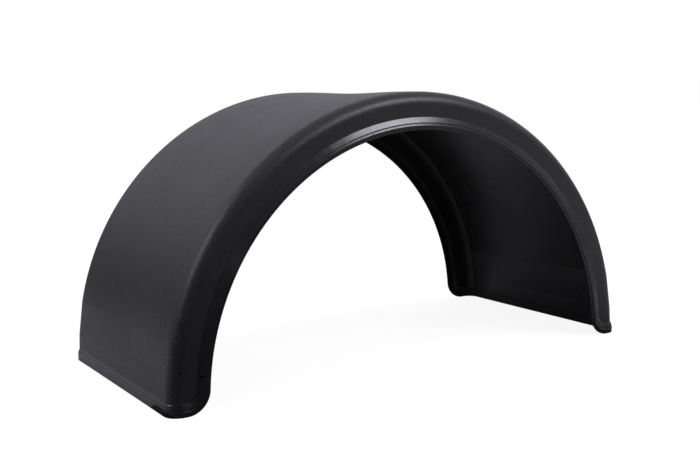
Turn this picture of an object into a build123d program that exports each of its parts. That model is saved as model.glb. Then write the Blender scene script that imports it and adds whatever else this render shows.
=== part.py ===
from build123d import *
import os
from math import asin, cos, degrees, radians, sin, sqrt

os.makedirs("parts", exist_ok=True)

# A half-round mudguard for a trailer's twin wheels, moulded in one piece from black
# polyethylene. The arch runs along X, its width lies along Y, and the cut edges of its
# two ends stand on the ground at Z = 0. Every size is in millimetres.

# The moulded sheet and the arch
wall = 4.0
tread_radius = 622.0
side_wall_depth = 86.0
side_face_width = 598.0
shoulder_radius = 28.0
arch_centre_height = 16.0

# The tread is dished between its shoulders. The dish ends in a crease above each end
# of the arch, and runs out over a short ramp to a straight end panel.
dish_depth = 3.8
flat_beside_dish = 41.0
crease_height = 146.0
panel_height = 64.0

# How far the dish's five-point curve follows its middle point at mid width
middle_point_share = 0.375

# The border that follows the whole cut edge: the opening, the foot corners and the ends
border_width = 30.0
foot_corner_radius = 52.0

# The lip on the side walls: a slope outwards, a fine groove and a bead above the cut edge
lip_rise = 5.6
lip_margin = 1.0
lip_slope_width = 12.5
groove_width = 2.0
groove_depth = 0.6
bead_width = 7.5
bead_height = 2.2
crest_softness = 1.8

# The rim across the tread's ends: a small ledge, then a band that flares to the cut edge
rim_rise = 2.6
rim_margin = 4.5
ledge_width = 2.5
rim_waist_height = 12.0
rim_waist_width = 6.0
rim_flare = 1.4

# The lip turns into the rim round the shoulder and over a run-in along the tread's end.
# At the shoulder's end the section is part lip and part rim.
rim_run_in = 80.0
lip_share_at_shoulder = 0.3

# A round mould pip, sunk in the lip's slope at one foot
pip_diameter = 6.0
pip_depth = 1.2
pip_height = 77.0
pip_from_edge = 20.0


# Places that follow from the sizes

half_face = side_face_width / 2
opening_radius = tread_radius - side_wall_depth
arch_axis = Axis((0, 0, arch_centre_height), (0, -1, 0))
wall_end_radius = opening_radius + border_width
wall_corner_radius = foot_corner_radius - border_width
corner_reach = opening_radius + foot_corner_radius
corner_offset = foot_corner_radius - arch_centre_height
corner_x = sqrt(corner_reach**2 - corner_offset**2)
corner_angle = degrees(asin(corner_offset / corner_reach))
crease_angle = degrees(asin((crease_height - arch_centre_height) / tread_radius))
panel_angle = degrees(asin((panel_height - arch_centre_height) / tread_radius))
shoulder_x = tread_radius - shoulder_radius
shoulder_y = half_face - shoulder_radius
dish_edge = shoulder_y - flat_beside_dish
rim_half_length = shoulder_y - rim_run_in


# The sheet: side wall, shoulder, tread, shoulder and side wall in one section


def wall_outline(inset, sag, inner_end):
    """Closed outline of a section, x outwards from the arch's axis, y across."""
    top = tread_radius - inset
    side = half_face - inset
    corner = shoulder_radius - inset
    dish = [
        (top, -dish_edge),
        (top, -dish_edge / 2),
        (top - sag / middle_point_share, 0),
        (top, dish_edge / 2),
        (top, dish_edge),
    ]
    return make_face(
        Curve()
        + [
            Line((inner_end, -side), (top - corner, -side)),
            CenterArc((top - corner, corner - side), corner, -90, 90),
            Line((top, corner - side), (top, -dish_edge)),
            Bezier(*dish),
            Line((top, dish_edge), (top, side - corner)),
            CenterArc((top - corner, side - corner), corner, 0, 90),
            Line((top - corner, side), (inner_end, side)),
            Line((inner_end, side), (inner_end, -side)),
        ]
    )


def wall_section(plane, sag):
    """The sheet's section on a plane whose x points outwards."""
    outer = wall_outline(0, sag, opening_radius)
    hollow = wall_outline(wall, sag, opening_radius - wall)
    return plane * (outer - hollow)


def radial_plane(angle):
    """A plane through the arch's axis, with x outwards and y across the width."""
    outwards = (cos(radians(angle)), 0, sin(radians(angle)))
    normal = (-sin(radians(angle)), 0, cos(radians(angle)))
    return Plane((0, 0, arch_centre_height), x_dir=outwards, z_dir=normal)


def opening_cut():
    """The space inside the line where the border begins, through both side walls."""
    span = 180 - 2 * corner_angle
    turn = 90 - corner_angle
    foot_z = foot_corner_radius
    left_foot = CenterArc((-corner_x, foot_z), wall_corner_radius, -90, turn)
    crown = CenterArc((0, arch_centre_height), wall_end_radius, 180 - corner_angle, -span)
    right_foot = CenterArc((corner_x, foot_z), wall_corner_radius, 180 + corner_angle, turn)
    below = Polyline(
        (corner_x, border_width),
        (corner_x, -border_width),
        (-corner_x, -border_width),
        (-corner_x, border_width),
    )
    outline = make_face(Curve() + [left_foot, crown, right_foot, below])
    return extrude(Plane.XZ * outline, side_face_width, both=True)


def moulded_wall():
    """The tread and the side walls, down to where the border begins."""
    crease = wall_section(radial_plane(crease_angle), dish_depth)
    panel = wall_section(radial_plane(panel_angle), 0)
    end = wall_section(Plane((0, 0, border_width)), 0)
    arch = revolve(crease, arch_axis, 180 - 2 * crease_angle)
    leg = loft([crease, panel], ruled=True) + loft([panel, end], ruled=True)
    return arch + leg + mirror(leg, about=Plane.YZ) - opening_cut()


# The border's sections, as runs in from the cut edge and rises off the wall's face. Each
# is given as the points up to the crest, the crest itself and the points after it, and
# both have the same number of each.


def lip_profile():
    slope_foot = border_width - lip_margin
    slope_end = slope_foot - lip_slope_width
    groove = slope_end - groove_width
    bead_foot = groove - bead_width
    before = [
        (border_width, 0),
        (slope_foot, 0),
        (slope_end, lip_rise),
        (groove, lip_rise - groove_depth),
    ]
    crest = ((groove + bead_foot) / 2, lip_rise + bead_height)
    after = [
        (bead_foot, lip_rise),
        (0, lip_rise),
        (0, lip_rise - wall),
        (slope_end, lip_rise - wall),
        (slope_foot, -wall),
        (border_width, -wall),
    ]
    return before, [crest], after


def rim_profile():
    ledge_foot = border_width - rim_margin
    ledge_end = ledge_foot - ledge_width
    waist_top = rim_waist_height + rim_waist_width / 2
    waist_foot = rim_waist_height - rim_waist_width / 2
    foot_rise = rim_flare * rim_waist_width / 2 / rim_waist_height
    edge_rise = rim_rise + rim_flare
    before = [
        (border_width, 0),
        (ledge_foot, 0),
        (ledge_end, rim_rise),
        (waist_top, rim_rise),
    ]
    crest = (rim_waist_height, rim_rise + foot_rise / 4)
    after = [
        (waist_foot, rim_rise + foot_rise),
        (0, edge_rise),
        (0, edge_rise - wall),
        (ledge_end, rim_rise - wall),
        (ledge_foot, -wall),
        (border_width, -wall),
    ]
    return before, [crest], after


def blend(first, second, share):
    """Values between two lists of numbers, with a share of the first."""
    return [share * a + (1 - share) * b for a, b in zip(first, second)]


def section_face(before, crest, after):
    """The face inside a line through the points, with its crest rounded."""
    bend_start = crest - (crest - before[-1]).normalized() * crest_softness
    bend_end = crest + (after[0] - crest).normalized() * crest_softness
    return make_face(
        Curve()
        + [
            Polyline(*before, bend_start),
            Bezier(bend_start, crest, bend_end),
            Polyline(bend_end, *after),
            Line(after[-1], before[0]),
        ]
    )


def border_section(lip_share, plane, edge_at, inwards, face_at):
    """A border section on a plane whose x follows the wall and whose y leaves it."""
    runs = []
    for lip_points, rim_points in zip(lip_profile(), rim_profile()):
        profile = [blend(lip, rim, lip_share) for lip, rim in zip(lip_points, rim_points)]
        runs.append([Vector(edge_at + inwards * run, face_at + rise) for run, rise in profile])
    before, [crest], after = runs
    return plane * section_face(before, crest, after)


def border_quarter():
    """The border of the near side's left half: arch, foot, shoulder and tread end."""
    along = (cos(radians(corner_angle)), 0, sin(radians(corner_angle)))
    across = (sin(radians(corner_angle)), 0, -cos(radians(corner_angle)))
    centre = (0, 0, arch_centre_height)
    start = Plane(centre, x_dir=along, z_dir=across)
    opening = border_section(1, start, opening_radius, 1, half_face)
    arch = revolve(opening, arch_axis, 90 - corner_angle)
    arch = mirror(arch, about=Plane.YZ)

    foot_centre = (-corner_x, 0, foot_corner_radius)
    towards = (along[0], 0, -along[2])
    normal = (-across[0], 0, across[2])
    bend = Plane(foot_centre, x_dir=towards, z_dir=normal)
    corner_face = border_section(1, bend, foot_corner_radius, -1, half_face)
    corner = revolve(corner_face, Axis(foot_centre, (0, 1, 0)), 90 - corner_angle)

    sole_plane = Plane((-corner_x, 0, 0), x_dir=(0, 0, 1), z_dir=(1, 0, 0))
    sole_face = border_section(1, sole_plane, 0, 1, half_face)
    sole = extrude(sole_face, corner_x - shoulder_x)

    pivot = (-shoulder_x, -shoulder_y, 0)
    side_plane = Plane(pivot, x_dir=(0, 0, 1), z_dir=(1, 0, 0))
    end_plane = Plane(pivot, x_dir=(0, 0, 1), z_dir=(0, -1, 0))
    rim_plane = end_plane.offset(-rim_run_in)
    side_face = border_section(1, side_plane, 0, 1, shoulder_radius)
    end_face = border_section(lip_share_at_shoulder, end_plane, 0, 1, shoulder_radius)
    rim_face = border_section(0, rim_plane, 0, 1, shoulder_radius)
    bend_path = Plane(pivot) * CenterArc((0, 0), shoulder_radius, -90, -90)
    shoulder = sweep([side_face, end_face], path=bend_path, multisection=True)
    run_in = loft([end_face, rim_face], ruled=True)
    rim = extrude(rim_face, -rim_half_length)
    return [arch, corner, sole, shoulder, run_in, rim]


def whole_border():
    pieces = border_quarter()
    half = pieces + [mirror(piece, about=Plane.YZ) for piece in pieces]
    return half + [mirror(piece, about=Plane.XZ) for piece in half]


def mould_pip():
    """A shallow spherical dimple in the slope of the near left foot's lip."""
    ball = (pip_diameter**2 / 4 + pip_depth**2) / (2 * pip_depth)
    across = sqrt((opening_radius + pip_from_edge) ** 2 - (pip_height - arch_centre_height) ** 2)
    share = (border_width - lip_margin - pip_from_edge) / lip_slope_width
    face = half_face + lip_rise * share
    return Pos(-across, -face - ball + pip_depth, pip_height) * Sphere(ball)


guard = moulded_wall() + whole_border() - mould_pip()
export_step(guard, "parts/mudguard_shell.step")
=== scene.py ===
import math

import bmesh
import bpy
from mathutils import Matrix, Vector


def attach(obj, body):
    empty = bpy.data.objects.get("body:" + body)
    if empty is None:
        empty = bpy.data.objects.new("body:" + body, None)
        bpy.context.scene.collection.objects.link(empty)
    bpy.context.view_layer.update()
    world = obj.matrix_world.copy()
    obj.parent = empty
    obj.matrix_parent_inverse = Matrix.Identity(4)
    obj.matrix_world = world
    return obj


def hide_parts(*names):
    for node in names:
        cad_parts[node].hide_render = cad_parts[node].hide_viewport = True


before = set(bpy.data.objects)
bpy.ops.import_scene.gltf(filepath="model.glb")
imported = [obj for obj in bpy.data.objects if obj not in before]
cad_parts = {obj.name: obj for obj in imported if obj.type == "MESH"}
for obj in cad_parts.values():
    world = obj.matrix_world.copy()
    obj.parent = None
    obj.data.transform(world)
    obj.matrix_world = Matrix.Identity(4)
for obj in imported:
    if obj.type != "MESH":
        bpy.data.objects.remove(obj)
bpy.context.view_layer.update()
print("the CAD shell is loaded")


# small helpers for building node trees

def wire(tree, value, socket):  # a socket gets linked, a plain value is typed in
    if isinstance(value, Amount):
        value = value.socket
    if isinstance(value, bpy.types.NodeSocket):
        tree.links.new(value, socket)
    else:
        socket.default_value = value


class Amount:  # a number worked out at every point, so that sizes can be written as sums
    def __init__(self, tree, socket):
        self.tree = tree
        self.socket = socket

    def work(self, operation, *others):
        node = self.tree.nodes.new("ShaderNodeMath")
        node.operation = operation
        for value, socket in zip(others, node.inputs):
            wire(self.tree, value, socket)
        return Amount(self.tree, node.outputs[0])

    def __add__(self, other):
        return self.work("ADD", self, other)

    def __radd__(self, other):
        return self.work("ADD", other, self)

    def __sub__(self, other):
        return self.work("SUBTRACT", self, other)

    def __rsub__(self, other):
        return self.work("SUBTRACT", other, self)

    def __mul__(self, other):
        return self.work("MULTIPLY", self, other)

    def __rmul__(self, other):
        return self.work("MULTIPLY", other, self)

    def __truediv__(self, other):
        return self.work("DIVIDE", self, other)

    def __neg__(self):
        return self.work("MULTIPLY", self, -1.0)

    def cos(self):
        return self.work("COSINE", self)

    def sin(self):
        return self.work("SINE", self)

    def size(self):
        return self.work("ABSOLUTE", self)

    def sign(self):
        return self.work("SIGN", self)

    def whole(self):
        return self.work("FLOOR", self)

    def above(self, other):
        return self.work("GREATER_THAN", self, other)

    def atMost(self, other):
        return self.work("MINIMUM", self, other)

    def atLeast(self, other):
        return self.work("MAXIMUM", self, other)

    def left(self, other):  # what is left over after dividing
        return self.work("FLOORED_MODULO", self, other)

    def share(self, start, end):  # 0 up to start, 1 from end on
        node = self.tree.nodes.new("ShaderNodeMapRange")
        wire(self.tree, self, node.inputs["Value"])
        wire(self.tree, start, node.inputs["From Min"])
        wire(self.tree, end, node.inputs["From Max"])
        return Amount(self.tree, node.outputs["Result"])


def mix(first, second, share):
    return first + (second - first) * share


def newNode(tree, kind, **values):  # a node with its settings, and its inputs typed in or linked
    node = tree.nodes.new(kind)
    for name, value in values.items():
        if hasattr(node, name):
            setattr(node, name, value)
        else:
            wire(tree, value, node.inputs[name.replace("_", " ")])
    return node


def vectorOf(tree, x, y, z):
    node = tree.nodes.new("ShaderNodeCombineXYZ")
    for value, socket in zip((x, y, z), node.inputs):
        wire(tree, value, socket)
    return node.outputs[0]


def splitVector(tree, vector):
    node = newNode(tree, "ShaderNodeSeparateXYZ", Vector=vector)
    return [Amount(tree, output) for output in node.outputs]


def workVectors(tree, operation, first, second):
    node = newNode(tree, "ShaderNodeVectorMath", operation=operation)
    wire(tree, first, node.inputs[0])
    wire(tree, second, node.inputs[1])
    return node.outputs["Vector"]


def scaled(tree, vector, amount):
    node = newNode(tree, "ShaderNodeVectorMath", operation="SCALE", Vector=vector, Scale=amount)
    return node.outputs["Vector"]


def newGeometryTree(name, inputs, outputs):
    tree = bpy.data.node_groups.new(name, "GeometryNodeTree")
    for label, kind in inputs:
        tree.interface.new_socket(label, in_out="INPUT", socket_type=kind)
    for label, kind in outputs:
        tree.interface.new_socket(label, in_out="OUTPUT", socket_type=kind)
    start = tree.nodes.new("NodeGroupInput")
    end = tree.nodes.new("NodeGroupOutput")
    return tree, start, end


def setInputs(modifier, values):  # a modifier's input goes by its identifier
    for item in modifier.node_group.interface.items_tree:
        if item.item_type == "SOCKET" and item.in_out == "INPUT" and item.name in values:
            modifier[item.identifier] = values[item.name]


def arrangeNodes(tree):  # columns by how far each node is from the start
    columnWidth, rowHeight = 220, 190
    depth = {node: 0 for node in tree.nodes}
    for _ in range(len(tree.nodes)):
        moved = False
        for link in tree.links:
            if depth[link.to_node] < depth[link.from_node] + 1:
                depth[link.to_node] = depth[link.from_node] + 1
                moved = True
        if not moved:
            break
    used = {}
    for node in tree.nodes:
        place = used.get(depth[node], 0)
        used[depth[node]] = place + 1
        node.location = (columnWidth * depth[node], -rowHeight * place)
        node.hide = node.bl_idname == "ShaderNodeMath"


# small helpers for objects

def newObject(name, data):
    made = bpy.data.objects.new(name, data)
    bpy.context.scene.collection.objects.link(made)
    return made


def evaluatedMesh(item):  # what an object's modifiers make of it, as a plain mesh
    return bpy.data.meshes.new_from_object(item.evaluated_get(bpy.context.evaluated_depsgraph_get()))


# sizes in metres, the same as the CAD's, then the sheet's rows and columns
shell = {
    "treadRadius": 0.622,
    "sideWallDepth": 0.086,
    "sideFaceWidth": 0.598,
    "shoulderRadius": 0.028,
    "centreHeight": 0.016,
    "wall": 0.004,
    "dishDepth": 0.0038,
    "dishWidth": 0.460,
    "creaseHeight": 0.146,
    "panelHeight": 0.064,
    "borderWidth": 0.030,
    "footCornerRadius": 0.052,
    "rimRunIn": 0.080,
    "lipShareAtShoulder": 0.3,
    "archRows": 100,
    "legRows": 40,
    "rowsAbovePanel": 0.75,  # shares of the leg's rows
    "rowsAboveCorner": 0.6,
    "treadColumns": 17,
    "shoulderColumns": 12,
    "sideColumns": 4,
    "sharpFrom": 42,  # degrees between faces
}

# the border's two sections: run in from the cut edge and rise off the face, in metres
lip = {"rise": 0.0056, "margin": 0.001, "slope": 0.0125, "groove": 0.002, "grooveDepth": 0.0006,
       "crest": 0.0095, "beadHeight": 0.0021, "edgeBand": 0.003}
rim = {"rise": 0.0026, "margin": 0.0045, "ledge": 0.0025, "waistHeight": 0.012, "flare": 0.0014,
       "underLedge": 0.0021, "band": 0.0052, "grooveDepth": 0.0006, "waistGroove": 0.0016}

# each corner of a section is rounded over a reach, but over no more than a share of its shorter side
rounding = {"fold": 0.0007, "bead": 0.0033, "edge": 0.0008, "inner": 0.0009,
            "support": 0.0002, "sideShare": 0.45}
cornerKinds = ["fold", "fold", "fold", "fold", "fold", "bead", "fold", "edge", "edge", "inner", "inner"]
cornerSteps = {"fold": 3, "bead": 8, "edge": 3, "inner": 3}
edgeCorner = cornerKinds.index("edge")  # the cut edge runs from this corner to the next


def lipCorners():
    foot = shell["borderWidth"] - lip["margin"]
    top = foot - lip["slope"]
    groove = top - lip["groove"]
    inside = lip["rise"] - shell["wall"]
    third = lip["slope"] / 3
    return [
        (shell["borderWidth"], 0), (foot, 0),
        (foot - third, lip["rise"] / 3), (top + third, lip["rise"] * 2 / 3),
        (top, lip["rise"]), (groove, lip["rise"] - lip["grooveDepth"]),
        (lip["crest"], lip["rise"] + lip["beadHeight"]), (lip["edgeBand"], lip["rise"]),
        (0, lip["rise"]), (0, inside), (top, inside),
        (foot, -shell["wall"]), (shell["borderWidth"], -shell["wall"]),
    ]


def rimCorners():
    foot = shell["borderWidth"] - rim["margin"]
    top = foot - rim["ledge"]
    under = top - rim["underLedge"]
    waist = under - rim["band"]
    hollow = rim["rise"] - rim["grooveDepth"]
    edge = rim["rise"] + rim["flare"]
    return [
        (shell["borderWidth"], 0), (foot, 0),
        (top, rim["rise"]), ((top + under) / 2, hollow), (under, rim["rise"]),
        (waist, rim["rise"]), (waist - rim["waistGroove"], hollow), (rim["waistHeight"], rim["rise"]),
        (0, edge), (0, edge - shell["wall"]), (top, rim["rise"] - shell["wall"]),
        (foot, -shell["wall"]), (shell["borderWidth"], -shell["wall"]),
    ]


def roundedLine(corners):  # each corner is rounded, with one more point just before and after
    corners = [Vector((run, rise)) for run, rise in corners]
    line = [corners[0]]
    for before, corner, after, kind in zip(corners, corners[1:], corners[2:], cornerKinds):
        steps = cornerSteps[kind]
        shorter = min((before - corner).length, (after - corner).length)
        reach = min(rounding[kind], shorter * rounding["sideShare"] - rounding["support"])
        back, on = (before - corner).normalized(), (after - corner).normalized()
        line.append(corner + back * (reach + rounding["support"]))
        for step in range(steps + 1):
            t = step / steps
            line.append(corner + back * reach * (1 - t) ** 2 + on * reach * t ** 2)
        line.append(corner + on * (reach + rounding["support"]))
    return line + [corners[-1]]


def pointsAt(kind):  # a corner's steps and one, and the points before and after it
    return cornerSteps[kind] + 3


def pointsUpTo(corner):  # how many points of a profile come before the middle of a corner
    before = sum(pointsAt(kind) for kind in cornerKinds[:corner])
    return 1 + before + pointsAt(cornerKinds[corner]) // 2


def profileCurve(name, corners):
    curve = bpy.data.curves.new(name, "CURVE")
    points = roundedLine(corners)
    spline = curve.splines.new("POLY")
    spline.points.add(len(points) - 1)
    for point, place in zip(spline.points, points):
        point.co = (place.x, place.y, 0, 1)
    return newObject(name, curve)


# the named inputs of the two trees; a face's finish is stored as its number in finishInputs
sheetSizes = [
    "Inset", "Tread Radius", "Side Face Width", "Shoulder Radius", "Centre Height",
    "Dish Depth", "Dish Width", "Crease Angle", "Panel Angle", "Border Width", "Border Line Radius",
    "Foot Angle", "Foot Centre X", "Foot Centre Z", "Foot Line Radius",
    "Rim Run In", "Lip Share At Shoulder",
]
sheetCounts = ["Arch Rows", "Leg Rows", "Tread Columns", "Shoulder Columns", "Side Columns"]
sheetInputs = [(name, "NodeSocketFloat") for name in sheetSizes]
sheetInputs += [(name, "NodeSocketInt") for name in sheetCounts]
finishInputs = {"Grained Plastic": "grainedPlastic", "Inner Plastic": "innerPlastic",
                "Smooth Plastic": "smoothPlastic", "Cut Edge": "cutEdge"}
finishNumbers = {name: number for number, name in enumerate(finishInputs)}
shellInputs = sheetInputs + [(name, "NodeSocketMaterial") for name in finishInputs] + [
    ("Wall", "NodeSocketFloat"), ("Lip Profile", "NodeSocketObject"), ("Rim Profile", "NodeSocketObject"),
    ("Edge Start", "NodeSocketInt"), ("Inner Start", "NodeSocketInt"),
]
rowNudge = 0.0001  # keeps a whole row from rounding down
seamGap = 0.00001  # points nearer than this are one


def sheetTree():  # one face of the sheet, as a grid bent over the arch, with what its border needs to know
    tree, start, end = newGeometryTree("mudguardSheet", sheetInputs, [("Mesh", "NodeSocketGeometry")])
    given = {item.name: Amount(tree, start.outputs[item.name]) for item in start.outputs if item.name}
    archRows, legRows = given["Arch Rows"], given["Leg Rows"]
    treadColumns, shoulderColumns = given["Tread Columns"], given["Shoulder Columns"]
    halfRows = archRows + legRows
    shoulderEnd = treadColumns + shoulderColumns
    halfColumns = shoulderEnd + given["Side Columns"]
    grid = newNode(tree, "GeometryNodeMeshGrid", Size_X=2.0, Size_Y=2.0,  # from -1 to 1 both ways
                   Vertices_X=halfColumns * 2 + 1, Vertices_Y=halfRows * 2 + 1)
    acrossWay, alongWay, _ = splitVector(tree, newNode(tree, "GeometryNodeInputPosition").outputs[0])
    across, side = acrossWay.size() * halfColumns, acrossWay.sign()
    along, way = alongWay.size() * halfRows, alongWay.sign()

    # the section: flat tread with its dish, round shoulder, side wall
    flatHalf = given["Side Face Width"] / 2 - given["Shoulder Radius"]
    onTread = flatHalf * across.share(0, treadColumns)
    turnShare = across.share(treadColumns, shoulderEnd)
    turn = turnShare * (math.pi / 2)
    drop = across.share(shoulderEnd, halfColumns)
    corner = given["Shoulder Radius"] - given["Inset"]
    y = onTread + corner * turn.sin()
    reach = given["Tread Radius"] - given["Shoulder Radius"] + corner * turn.cos()
    offMiddle = (onTread * 2 / given["Dish Width"]).atMost(1)
    hollow = 1 - offMiddle * offMiddle
    dished = reach - given["Dish Depth"] * hollow * hollow

    # the arch, then the ramp that ends the dish, then the straight end
    angle = mix(math.pi / 2, given["Crease Angle"], along.share(0, archRows))
    panelStart = archRows + legRows * shell["rowsAbovePanel"]
    toPanel = along.share(archRows, panelStart)
    toEnd = along.share(panelStart, halfRows)
    wallX = mix(mix(angle.cos() * dished, given["Panel Angle"].cos() * reach, toPanel), reach, toEnd)
    archZ = mix(angle.sin() * dished, given["Panel Angle"].sin() * reach, toPanel) + given["Centre Height"]
    wallZ = mix(archZ, given["Border Width"], toEnd)

    # the line where the border begins: round the opening, then round the foot's corner
    cornerStart = archRows + legRows * shell["rowsAboveCorner"]
    lineAngle = mix(angle, given["Foot Angle"], along.share(archRows, cornerStart))
    footAngle = mix(given["Foot Angle"] + math.pi, math.pi * 1.5, along.share(cornerStart, halfRows))
    onCorner = along.above(cornerStart)
    openX = lineAngle.cos() * given["Border Line Radius"]
    openZ = lineAngle.sin() * given["Border Line Radius"] + given["Centre Height"]
    lineX = mix(openX, given["Foot Centre X"] + footAngle.cos() * given["Foot Line Radius"], onCorner)
    lineZ = mix(openZ, given["Foot Centre Z"] + footAngle.sin() * given["Foot Line Radius"], onCorner)
    x = mix(wallX, lineX, drop) * way
    z = mix(wallZ, lineZ, drop)

    # which way the cut edge and the outside lie, and how much of the border is lip
    cutX = mix(-lineAngle.cos(), footAngle.cos(), onCorner) * way
    cutZ = mix(-lineAngle.sin(), footAngle.sin(), onCorner)
    runIn = given["Lip Share At Shoulder"] * onTread.share(flatHalf - given["Rim Run In"], flatHalf)
    kept = grid.outputs["Mesh"]
    for name, kind, value in (
        ("cutDirection", "FLOAT_VECTOR", vectorOf(tree, cutX, 0.0, cutZ)),
        ("faceDirection", "FLOAT_VECTOR", vectorOf(tree, turn.cos() * way, turn.sin() * side, 0.0)),
        ("lipShare", "FLOAT", mix(runIn, 1, turnShare)),
    ):
        store = newNode(tree, "GeometryNodeStoreNamedAttribute", data_type=kind, domain="POINT",
                        Geometry=kept, Name=name, Value=value)
        kept = store.outputs["Geometry"]
    place = newNode(tree, "GeometryNodeSetPosition", Geometry=kept, Position=vectorOf(tree, x, y * side, z))
    tree.links.new(place.outputs["Geometry"], end.inputs["Mesh"])
    arrangeNodes(tree)
    return tree


def stored(tree, name, kind):
    return newNode(tree, "GeometryNodeInputNamedAttribute", data_type=kind, Name=name).outputs["Attribute"]


def sampled(tree, geometry, value, at, kind="FLOAT_VECTOR"):
    return newNode(tree, "GeometryNodeSampleIndex", data_type=kind, domain="POINT",
                   Geometry=geometry, Value=value, Index=at).outputs["Value"]


def pointCount(tree, curve):
    size = newNode(tree, "GeometryNodeAttributeDomainSize", component="CURVE", Geometry=curve)
    return Amount(tree, size.outputs["Point Count"])


def borderBand(tree, given, sheet):  # the section swept round the sheet's open edge, and its faces' finish
    faceCount = Amount(tree, newNode(tree, "GeometryNodeInputMeshEdgeNeighbors").outputs["Face Count"])
    openEdge = 1.5 - faceCount  # above 0 where an edge has one face
    line = newNode(tree, "GeometryNodeMeshToCurve", Mesh=sheet, Selection=openEdge).outputs["Curve"]
    stations = pointCount(tree, line)
    profiles = [newNode(tree, "GeometryNodeObjectInfo", Object=given[name]).outputs["Geometry"]
                for name in ("Lip Profile", "Rim Profile")]
    band = newNode(tree, "GeometryNodeMeshGrid", Size_X=1.0, Size_Y=1.0,
                   Vertices_X=pointCount(tree, profiles[0]), Vertices_Y=stations + 1)
    index = Amount(tree, newNode(tree, "GeometryNodeInputIndex").outputs[0])
    profileAt = (index / (stations + 1) + rowNudge).whole()
    stationAt = index.left(stations + 1).left(stations)  # the last is the first again, which closes the band

    position = newNode(tree, "GeometryNodeInputPosition").outputs[0]
    base = sampled(tree, line, position, stationAt)
    cutWay = sampled(tree, line, stored(tree, "cutDirection", "FLOAT_VECTOR"), stationAt)
    faceWay = sampled(tree, line, stored(tree, "faceDirection", "FLOAT_VECTOR"), stationAt)
    lipShare = Amount(tree, sampled(tree, line, stored(tree, "lipShare", "FLOAT"), stationAt, "FLOAT"))
    (lipRun, lipRise, _), (rimRun, rimRise, _) = [
        splitVector(tree, sampled(tree, profile, position, profileAt)) for profile in profiles
    ]
    inwards = scaled(tree, cutWay, Amount(tree, given["Border Width"]) - mix(rimRun, lipRun, lipShare))
    outwards = scaled(tree, faceWay, mix(rimRise, lipRise, lipShare))
    moved = workVectors(tree, "ADD", workVectors(tree, "ADD", base, inwards), outwards)
    place = newNode(tree, "GeometryNodeSetPosition", Geometry=band.outputs["Mesh"], Position=moved)

    # smooth outside, sawn at its edge and like the sheet inside; half a row less lets the first row count
    inProfile = (index / stations + rowNudge).whole()
    pastEdge = inProfile.above(Amount(tree, given["Edge Start"]) - 0.5)
    pastInner = inProfile.above(Amount(tree, given["Inner Start"]) - 0.5)
    smooth, sawn, inner = [finishNumbers[name] for name in ("Smooth Plastic", "Cut Edge", "Inner Plastic")]
    return place.outputs["Geometry"], pastEdge * (sawn - smooth) + pastInner * (inner - sawn) + smooth


def shellTree():  # both faces of the sheet, and the border swept along their common edge
    tree, start, end = newGeometryTree("mudguardShell", shellInputs, [("Mesh", "NodeSocketGeometry")])
    given = start.outputs
    sheet = sheetTree()
    outer, inner = [newNode(tree, "GeometryNodeGroup", node_tree=sheet) for _ in range(2)]
    for name, _ in sheetInputs:
        tree.links.new(given[name], outer.inputs[name])
        tree.links.new(given["Wall" if name == "Inset" else name], inner.inputs[name])
    flip = newNode(tree, "GeometryNodeFlipFaces", Mesh=inner.outputs["Mesh"])
    border, borderFinish = borderBand(tree, given, outer.outputs["Mesh"])

    join = newNode(tree, "GeometryNodeJoinGeometry")
    for mesh, number in (
        (outer.outputs["Mesh"], finishNumbers["Grained Plastic"]),
        (flip.outputs["Mesh"], finishNumbers["Inner Plastic"]),
        (border, borderFinish),
    ):
        store = newNode(tree, "GeometryNodeStoreNamedAttribute", data_type="INT", domain="FACE",
                        Geometry=mesh, Name="finish", Value=number)
        tree.links.new(store.outputs["Geometry"], join.inputs["Geometry"])
    merge = newNode(tree, "GeometryNodeMergeByDistance", Geometry=join.outputs["Geometry"], Distance=seamGap)
    smooth = newNode(tree, "GeometryNodeSetShadeSmooth", Geometry=merge.outputs["Geometry"])
    real = newNode(tree, "GeometryNodeRealizeInstances", Geometry=smooth.outputs["Geometry"])
    last = real.outputs["Geometry"]
    for name, number in finishNumbers.items():
        same = newNode(tree, "FunctionNodeCompare", data_type="INT", operation="EQUAL")
        first, second = [socket for socket in same.inputs if socket.enabled and socket.name in ("A", "B")]
        wire(tree, stored(tree, "finish", "INT"), first)
        wire(tree, number, second)
        paint = newNode(tree, "GeometryNodeSetMaterial", Geometry=last, Selection=same.outputs[0],
                        Material=given[name])
        last = paint.outputs["Geometry"]
    tree.links.new(last, end.inputs["Mesh"])
    arrangeNodes(tree)
    return tree


def meshFrom(name, tree, values):  # runs a tree once and keeps what it made as a plain mesh
    holder = newObject(name + "Holder", bpy.data.meshes.new(name + "Holder"))
    modifier = holder.modifiers.new(name, "NODES")
    modifier.node_group = tree
    setInputs(modifier, values)
    mesh = evaluatedMesh(holder)
    mesh.name = name
    for label in ("cutDirection", "faceDirection", "lipShare", "finish"):
        if label in mesh.attributes:
            mesh.attributes.remove(mesh.attributes[label])
    holder.modifiers.remove(modifier)
    bpy.data.objects.remove(holder)
    work = bmesh.new()
    work.from_mesh(mesh)
    bmesh.ops.recalc_face_normals(work, faces=work.faces)
    print(name, len(work.faces), "faces,", sum(not edge.is_manifold for edge in work.edges), "open edges")
    work.to_mesh(mesh)
    work.free()
    return newObject(name, mesh)


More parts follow.
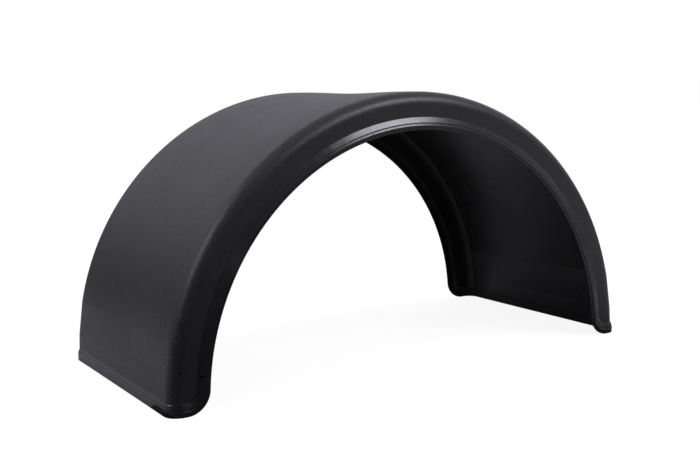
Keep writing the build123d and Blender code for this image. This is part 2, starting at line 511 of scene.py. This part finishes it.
# the finishes of the moulded sheet; sizes of the patterns and depths of the bumps in metres
finishes = {
    "grainedPlastic": {
        "colour": (0.0135, 0.0126, 0.0145), "roughness": 0.40, "roughnessSpread": 0.05,
        "grain": 0.0028, "grainDepth": 0.00050, "fineDepth": 0.00012,
        "speckle": 1.00, "glossGrain": 0.55, "sideQuiet": 0.60,
        "wave": 0.16, "waveDepth": 0.00012, "cloud": 0.060, "cloudSpread": 0.05,
    },
    "innerPlastic": {
        "colour": (0.0260, 0.0243, 0.0260), "roughness": 0.31, "roughnessSpread": 0.10,
        "grain": 0.0040, "grainDepth": 0.00010, "fineDepth": 0.00003,
        "speckle": 0.50, "glossGrain": 0.10, "paintedLightBelow": 0.55,
        "wave": 0.07, "waveDepth": 0.0007, "cloud": 0.035, "cloudSpread": 0.20,
    },
    "smoothPlastic": {
        "colour": (0.0125, 0.0118, 0.0132), "roughness": 0.22, "roughnessSpread": 0.06,
        "grain": 0.0030, "grainDepth": 0.00001, "fineDepth": 0.000004,
        "speckle": 0.16, "glossGrain": 0.04,
        "wave": 0.06, "waveDepth": 0.00010, "cloud": 0.014, "cloudSpread": 0.16,
    },
    "cutEdge": {
        "colour": (0.0300, 0.0290, 0.0310), "roughness": 0.50, "roughnessSpread": 0.14,
        "grain": 0.0018, "grainDepth": 0.00018, "fineDepth": 0.00006,
        "speckle": 0.60, "glossGrain": 0.30,
        "wave": 0.03, "waveDepth": 0.00020, "cloud": 0.010, "cloudSpread": 0.40,
    },
}

# what the finishes share
pattern = {
    "grainDetail": 1.5, "fineDetail": 1.0, "cloudDetail": 3.0, "waveDetail": 1.0,
    "finer": 3,  # how many times smaller the fine grain is
    "mottleSpan": (0.3, 0.7),  # of the grain's height
    "sideSpan": (0.285, 0.298),  # metres from mid width to where the side walls begin
    "plainGloss": 0.5,
}

# marks on the plastic, some of them painted highlights or painted shade as said at each: place and reach in
# metres, the share of the reach that is fully marked, and how much each one changes the colour, the roughness
# and the gloss
marks = {
    "grainedPlastic": [
        {"place": (-0.6183, -0.0036, 0.0834), "reach": (0.011, 0.011, 0.011), "core": 0.3,
         "colour": -0.55, "roughness": 0.06, "gloss": -0.22},
        {"place": (-0.6162, -0.0581, 0.1009), "reach": (0.010, 0.010, 0.010), "core": 0.3,
         "colour": -0.50, "roughness": 0.06, "gloss": -0.18},
        {"place": (-0.5939, -0.0534, 0.2007), "reach": (0.030, 0.030, 0.030), "core": 0.3,
         "colour": 0.20, "roughness": 0.03, "gloss": -0.06},
        {"place": (-0.5971, -0.2990, 0.0906), "reach": (0.004, 0.004, 0.007), "core": 0.4,
         "colour": -0.60, "roughness": 0.0, "gloss": -0.60},
    ],
    "innerPlastic": [
        {"place": (0.5083, -0.1426, 0.3675), "reach": (0.003, 0.003, 0.003), "core": 0.3,
         "colour": -0.70, "roughness": 0.0, "gloss": -0.60},
    ],
    "smoothPlastic": [
        # the next two are painted highlights: they make the slope's colour lighter, on patches that are also
        # rougher
        {"place": (-0.4620, -0.3030, 0.3060), "reach": (0.045, 0.045, 0.045), "core": 0.3,
         "colour": 0.50, "roughness": 0.16, "gloss": 0.0},
        {"place": (-0.2223, -0.3025, 0.5254), "reach": (0.016, 0.016, 0.016), "core": 0.3,
         "colour": 0.20, "roughness": 0.08, "gloss": 0.0},
        # painted shade in the pip's dimple: darker colour, rougher, almost no gloss
        {"place": (-0.5526, -0.3025, 0.0770), "reach": (0.0046, 0.0046, 0.0046), "core": 0.9,
         "colour": -0.55, "roughness": 0.30, "gloss": -0.86},
        {"place": (-0.6000, -0.2960, 0.0190), "reach": (0.030, 0.030, 0.016), "core": 0.4,
         "colour": 0.10, "roughness": 0.22, "gloss": -0.55},
        # painted shade on the lip round the near foot: darker colour and less gloss
        {"place": (-0.5800, -0.3030, 0.0180), "reach": (0.060, 0.018, 0.040), "core": 0.5,
         "colour": -0.25, "roughness": 0.05, "gloss": -0.45},
        # painted shade, a painted dark reflection: the lower band at the near foot's corner is made nearly
        # black and without gloss
        {"place": (-0.6250, -0.2500, 0.0000), "reach": (0.060, 0.053, 0.0165), "core": 0.86,
         "colour": -0.30, "roughness": 0.0, "gloss": -0.95},
    ],
    "cutEdge": [],
}

# inside, the mould's parting left a fine ridge along the crease, and below it the tread gets painted light, a
# lighter colour
crease = {
    "height": shell["creaseHeight"],
    "width": 0.0022,
    "depth": 0.0009,
    "blend": 0.001,
    "fadeOut": 0.075,
    "treadSpan": (0.262, 0.272),  # metres from mid width to where the tread ends
}


def noise(tree, place, size, detail):
    node = newNode(tree, "ShaderNodeTexNoise", Vector=place, Scale=1 / size, Detail=detail)
    return Amount(tree, node.outputs["Fac"])


def bump(tree, height, depth, before=None):
    node = newNode(tree, "ShaderNodeBump", Strength=1.0, Distance=depth, Height=height)
    if before:
        tree.links.new(before, node.inputs["Normal"])
    return node.outputs[0]


def nearTo(tree, place, mark):  # 1 in the middle of a mark, fading out to its reach
    offset = workVectors(tree, "SUBTRACT", place, mark["place"])
    inReaches = workVectors(tree, "DIVIDE", offset, mark["reach"])
    length = newNode(tree, "ShaderNodeVectorMath", operation="LENGTH", Vector=inReaches)
    return 1 - Amount(tree, length.outputs["Value"]).share(mark["core"], 1)


def blackPlastic(name):
    look = finishes[name]
    material = bpy.data.materials.new(name)
    material.use_nodes = True
    tree = material.node_tree
    shader = tree.nodes["Principled BSDF"]
    place = tree.nodes.new("ShaderNodeTexCoord").outputs["Object"]
    grain = noise(tree, place, look["grain"], pattern["grainDetail"])
    fine = noise(tree, place, look["grain"] / pattern["finer"], pattern["fineDetail"])
    cloud = noise(tree, place, look["cloud"], pattern["cloudDetail"])
    wave = noise(tree, place, look["wave"], pattern["waveDetail"])

    # the colour is a little mottled by the grain and a little cloudy
    mottle = grain.share(*pattern["mottleSpan"]) - 0.5
    if "sideQuiet" in look:  # the side walls show their grain less than the tread
        across = splitVector(tree, place)[1].size()
        mottle = mottle * (1 - across.share(*pattern["sideSpan"]) * look["sideQuiet"])
    light = mottle * look["speckle"] + (cloud - 0.5) * look["cloudSpread"] * 2 + 1
    roughness = (cloud - 0.5) * look["roughnessSpread"] * 2 + look["roughness"]
    gloss = (mottle * look["glossGrain"] + 1) * pattern["plainGloss"]
    for mark in marks[name]:
        near = nearTo(tree, place, mark)
        light = light + near * mark["colour"]
        roughness = roughness + near * mark["roughness"]
        gloss = gloss + near * (gloss * mark["gloss"])

    # the sheet is slightly wavy from the mould, and the grain stands on it
    relief = bump(tree, wave, look["waveDepth"])
    # painted light: the inner tread's colour is lighter below the crease, fading out towards the bottom
    if "paintedLightBelow" in look:
        _, across, height = splitVector(tree, place)
        onTread = 1 - across.size().share(*crease["treadSpan"])
        below = 1 - height.share(crease["height"] - crease["blend"], crease["height"])
        light = light + below * height.share(0, crease["fadeOut"]) * onTread * look["paintedLightBelow"]
        offLine = (height - crease["height"]).size()
        relief = bump(tree, 1 - offLine.share(0, crease["width"]), crease["depth"], relief)
    relief = bump(tree, grain, look["grainDepth"], relief)
    relief = bump(tree, fine, look["fineDepth"], relief)

    wire(tree, scaled(tree, look["colour"], light), shader.inputs["Base Color"])
    wire(tree, roughness, shader.inputs["Roughness"])
    wire(tree, gloss, shader.inputs["Specular IOR Level"])
    wire(tree, relief, shader.inputs["Normal"])
    arrangeNodes(tree)
    return material


# a round pip sunk in the slope at one foot, and flecks of flash left on the bead, in metres
pip = {"place": (-0.55264, -0.30618, 0.077), "radius": 0.00435, "segments": 24}
flecks = {"radius": 0.0011, "segments": 8, "places": [
    (-0.1589, -0.3051, 0.5402), (-0.1290, -0.3051, 0.5480),
    (-0.0068, -0.3048, 0.5560), (0.0040, -0.3048, 0.5556),
]}
ballTurn = 9  # radians for each metre along, so that no two balls are turned alike


def smallBalls(name, places, radius, segments):
    work = bmesh.new()
    for place in places:
        turned = Matrix.Translation(place) @ Matrix.Rotation(place[0] * ballTurn, 4, "Y")
        bmesh.ops.create_uvsphere(work, u_segments=segments, v_segments=segments // 2,
                                  radius=radius, matrix=turned)
    mesh = bpy.data.meshes.new(name)
    work.to_mesh(mesh)
    work.free()
    mesh.shade_smooth()
    mesh.materials.append(bpy.data.materials["smoothPlastic"])
    return newObject(name, mesh)


def combine(target, tool, operation):  # a boolean, kept as plain mesh
    modifier = target.modifiers.new(tool.name, "BOOLEAN")
    modifier.operation = operation
    modifier.solver = "EXACT"
    modifier.material_mode = "TRANSFER"
    modifier.object = tool
    mesh = evaluatedMesh(target)
    target.modifiers.remove(modifier)
    target.data = mesh
    bpy.data.objects.remove(tool)


def shellValues():
    openingRadius = shell["treadRadius"] - shell["sideWallDepth"]
    cornerReach = openingRadius + shell["footCornerRadius"]
    cornerRise = shell["footCornerRadius"] - shell["centreHeight"]
    values = {
        "Inset": 0.0,
        "Wall": shell["wall"],
        "Tread Radius": shell["treadRadius"],
        "Side Face Width": shell["sideFaceWidth"],
        "Shoulder Radius": shell["shoulderRadius"],
        "Centre Height": shell["centreHeight"],
        "Dish Depth": shell["dishDepth"],
        "Dish Width": shell["dishWidth"],
        "Crease Angle": math.asin((shell["creaseHeight"] - shell["centreHeight"]) / shell["treadRadius"]),
        "Panel Angle": math.asin((shell["panelHeight"] - shell["centreHeight"]) / shell["treadRadius"]),
        "Border Width": shell["borderWidth"],
        "Border Line Radius": openingRadius + shell["borderWidth"],
        "Foot Angle": math.asin(cornerRise / cornerReach),
        "Foot Centre X": math.sqrt(cornerReach ** 2 - cornerRise ** 2),
        "Foot Centre Z": shell["footCornerRadius"],
        "Foot Line Radius": shell["footCornerRadius"] - shell["borderWidth"],
        "Rim Run In": shell["rimRunIn"],
        "Lip Share At Shoulder": shell["lipShareAtShoulder"],
        "Arch Rows": shell["archRows"],
        "Leg Rows": shell["legRows"],
        "Tread Columns": shell["treadColumns"],
        "Shoulder Columns": shell["shoulderColumns"],
        "Side Columns": shell["sideColumns"],
        "Lip Profile": profileCurve("lipProfile", lipCorners()),
        "Rim Profile": profileCurve("rimProfile", rimCorners()),
        "Edge Start": pointsUpTo(edgeCorner),
        "Inner Start": pointsUpTo(edgeCorner + 1),
    }
    for label, name in finishInputs.items():
        values[label] = blackPlastic(name)
    return values


def makeShell():
    values = shellValues()
    made = meshFrom("mudguardShell", shellTree(), values)
    combine(made, smallBalls("flecks", flecks["places"], flecks["radius"], flecks["segments"]), "UNION")
    combine(made, smallBalls("pip", [pip["place"]], pip["radius"], pip["segments"]), "DIFFERENCE")
    made.data.set_sharp_from_angle(angle=math.radians(shell["sharpFrom"]))
    print("after the pip and the flecks", len(made.data.polygons), "faces")
    for name in ("Lip Profile", "Rim Profile"):
        bpy.data.objects.remove(values[name])
    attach(made, "root")
    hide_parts("mudguard_shell")


makeShell()
print("the shell is built")


# place in metres, angles in radians, lens and sensor in millimetres; a yaw of 0 looks along +Y
camera = {
    "place": (-1.3804, -2.2022, 0.6563),
    "yaw": 0.559,
    "pitch": 0.1417,
    "roll": -0.0222,
    "lens": 53.69,
    "sensor": 36,
}


def makeCamera():
    data = bpy.data.cameras.new("camera")
    data.lens = camera["lens"]
    data.sensor_width = camera["sensor"]
    yaw, pitch, roll = camera["yaw"], camera["pitch"], camera["roll"]
    ahead = Vector((math.sin(yaw) * math.cos(pitch), math.cos(yaw) * math.cos(pitch), -math.sin(pitch)))
    right = Vector((math.cos(yaw), -math.sin(yaw), 0))
    up = right.cross(ahead)
    turnedRight = right * math.cos(roll) + up * math.sin(roll)
    turnedUp = up * math.cos(roll) - right * math.sin(roll)
    axes = Matrix((turnedRight, turnedUp, -ahead)).transposed().to_4x4()
    made = newObject("camera", data)
    made.matrix_world = Matrix.Translation(camera["place"]) @ axes
    bpy.context.scene.camera = made


def showWhite(tree, white, dim, glossShare, output):  # white to the camera and through glass, dimmer in gloss
    rays = tree.nodes.new("ShaderNodeLightPath").outputs
    straight = Amount(tree, rays["Is Camera Ray"]).atLeast(rays["Is Transmission Ray"])
    seen = tree.nodes.new("ShaderNodeMixShader")
    wire(tree, straight.atLeast(Amount(tree, rays["Is Glossy Ray"]) * glossShare), seen.inputs[0])
    wire(tree, dim.outputs[0], seen.inputs[1])
    wire(tree, white.outputs[0], seen.inputs[2])
    wire(tree, seen.outputs[0], tree.nodes.new(output).inputs[0])
    arrangeNodes(tree)


# the floor is white to the camera apart from the shadow, and the plastic reflects a dimmer one with painted
# light and shade:
# dark in front, lighter under the guard and behind it, lightest at the right; each span is the stretch of x
# or y, in metres, over which a tone comes in or goes out
floorLook = {
    "halfSize": 12,
    "glow": 0.9,
    "shadowStrength": 0.22,
    "glossShare": 0.02,
    "bounceTone": 0.28,
    "frontTone": 0.02, "frontEnds": (-0.9, -0.35),
    "rightTone": 0.84, "rightStarts": (0.3, 1.4),
    "footStarts": (0.55, 0.78), "footEnds": (1.1, 1.7), "footFade": 0.75,
    "behindTone": 0.64, "behindStarts": (-3.0, -1.2),
    "underTone": 0.42, "underStarts": (-0.6, 0.0), "underEnds": (0.60, 0.80),
    "underFade": 0.80, "fadeStarts": (0.22, 0.58), "fadeEnds": (0.42, 0.50),
    "edgeFrom": (-0.42, -0.1), "edgeTo": (-0.12, 0.25),  # left of the guard, then under it
}


def mirroredFloor(x, y):  # how bright the plastic sees the floor, with its painted light and shade
    look = floorLook
    atFoot = x.share(*look["footStarts"]) * (1 - x.share(*look["footEnds"]) * look["footFade"])
    inFront = (1 - y.share(*look["frontEnds"])).atLeast(atFoot)
    right = mix(look["frontTone"], look["rightTone"], x.share(*look["rightStarts"]) * inFront)
    under = x.share(*look["underStarts"])
    underFade = y.share(*look["fadeStarts"]) * (1 - x.share(*look["fadeEnds"])) * look["underFade"]
    underTone = (1 - y.share(*look["underEnds"])) * (1 - underFade) * look["underTone"]
    behindTone = x.share(*look["behindStarts"]) * look["behindTone"]
    past = y.share(mix(*look["edgeFrom"], under), mix(*look["edgeTo"], under))
    return right.atLeast(past * mix(behindTone, underTone, under))


def makeFloor():
    mesh = bpy.data.meshes.new("floor")
    half = floorLook["halfSize"]
    corners = [(-half, -half, 0), (half, -half, 0), (half, half, 0), (-half, half, 0)]
    mesh.from_pydata(corners, [], [(0, 1, 2, 3)])
    floor = newObject("floor", mesh)
    material = bpy.data.materials.new("paleFloor")
    material.use_nodes = True
    tree = material.node_tree
    tree.nodes.clear()
    x, y, _ = splitVector(tree, tree.nodes.new("ShaderNodeTexCoord").outputs["Object"])
    diffuse = Amount(tree, tree.nodes.new("ShaderNodeLightPath").outputs["Is Diffuse Ray"])
    tone = mix(mirroredFloor(x, y), floorLook["bounceTone"], diffuse)
    dim = newNode(tree, "ShaderNodeBsdfDiffuse", Color=vectorOf(tree, tone, tone, tone))
    shadow = floorLook["shadowStrength"]
    lit = newNode(tree, "ShaderNodeBsdfDiffuse", Color=(shadow, shadow, shadow, 1))
    glow = newNode(tree, "ShaderNodeEmission", Strength=floorLook["glow"])
    white = tree.nodes.new("ShaderNodeAddShader")
    wire(tree, lit.outputs[0], white.inputs[0])
    wire(tree, glow.outputs[0], white.inputs[1])
    showWhite(tree, white, dim, floorLook["glossShare"], "ShaderNodeOutputMaterial")
    mesh.materials.append(material)


# a lamp's direction from just under the crown is in degrees from straight behind and above level, its
# distance and size in metres, and its power in watts
lamps = {
    "frontLamp": {"turn": 149, "rise": 34, "distance": 3.15, "size": (1.28, 0.96), "power": 43,
                  "colour": (0.95, 0.93, 1.0)},
    "leftLamp": {"turn": -82, "rise": 28, "distance": 2.96, "size": (1.2, 1.2), "power": 17.5,
                 "colour": (0.95, 0.93, 1.0)},
}


def makeLamps():
    aim = Vector((0, 0, shell["treadRadius"]))
    for name, lamp in lamps.items():
        turn, rise = math.radians(lamp["turn"]), math.radians(lamp["rise"])
        way = Vector((math.sin(turn) * math.cos(rise), math.cos(turn) * math.cos(rise), math.sin(rise)))
        data = bpy.data.lights.new(name, "AREA")
        data.shape = "RECTANGLE"
        data.size, data.size_y = lamp["size"]
        data.energy = lamp["power"]
        data.color = lamp["colour"]
        made = newObject(name, data)
        made.location = aim + way * lamp["distance"]
        made.rotation_euler = (-way).to_track_quat("-Z", "Y").to_euler()


# the room is white to the camera, and to the plastic a dome that is bright above and dim in front; each
# span is the stretch of the direction's x, y or z over which a light comes in or goes out
room = {
    "front": 0.046,
    "above": 0.68,
    "below": 0.02, "levelSpan": (-0.12, 0.04),
    "behind": 0.57, "behindY": (-0.2, 0.5), "behindZ": (0.05, 0.38), "behindTop": (0.42, 0.85),
    "right": 0.33, "rightX": (0.4, 0.9), "rightZ": (-0.03, 0.15), "rightTop": (0.3, 0.8),
    "horizon": 0.24, "horizonX": (0.35, 0.6), "horizonY": (0.3, 0.7), "horizonTop": (0.1, 0.3),
    "tint": (1.02, 1.0, 1.12),
    "glossShare": 0.03,
}


def domeLight(x, y, z):
    above = z * z * room["above"] + room["front"]
    behind = y.share(*room["behindY"]) * z.share(*room["behindZ"]) * (1 - z.share(*room["behindTop"]))
    right = x.share(*room["rightX"]) * z.share(*room["rightZ"]) * (1 - z.share(*room["rightTop"]))
    horizon = x.share(*room["horizonX"]) * y.share(*room["horizonY"]) * (1 - z.share(*room["horizonTop"]))
    lights = above + behind * room["behind"] + right * room["right"] + horizon * room["horizon"]
    return mix(room["below"], lights, z.share(*room["levelSpan"]))


def makeRoom():
    world = bpy.data.worlds.new("studio")
    bpy.context.scene.world = world
    world.use_nodes = True
    tree = world.node_tree
    tree.nodes.clear()
    tone = domeLight(*splitVector(tree, tree.nodes.new("ShaderNodeTexCoord").outputs["Generated"]))
    red, green, blue = [tone * share for share in room["tint"]]
    dome = newNode(tree, "ShaderNodeBackground", Color=vectorOf(tree, red, green, blue))
    white = newNode(tree, "ShaderNodeBackground", Color=(1, 1, 1, 1))
    showWhite(tree, white, dome, room["glossShare"], "ShaderNodeOutputWorld")


makeCamera()
makeFloor()
makeLamps()
makeRoom()
bpy.context.scene.view_settings.view_transform = "Standard"
print("camera, floor and lights are set")
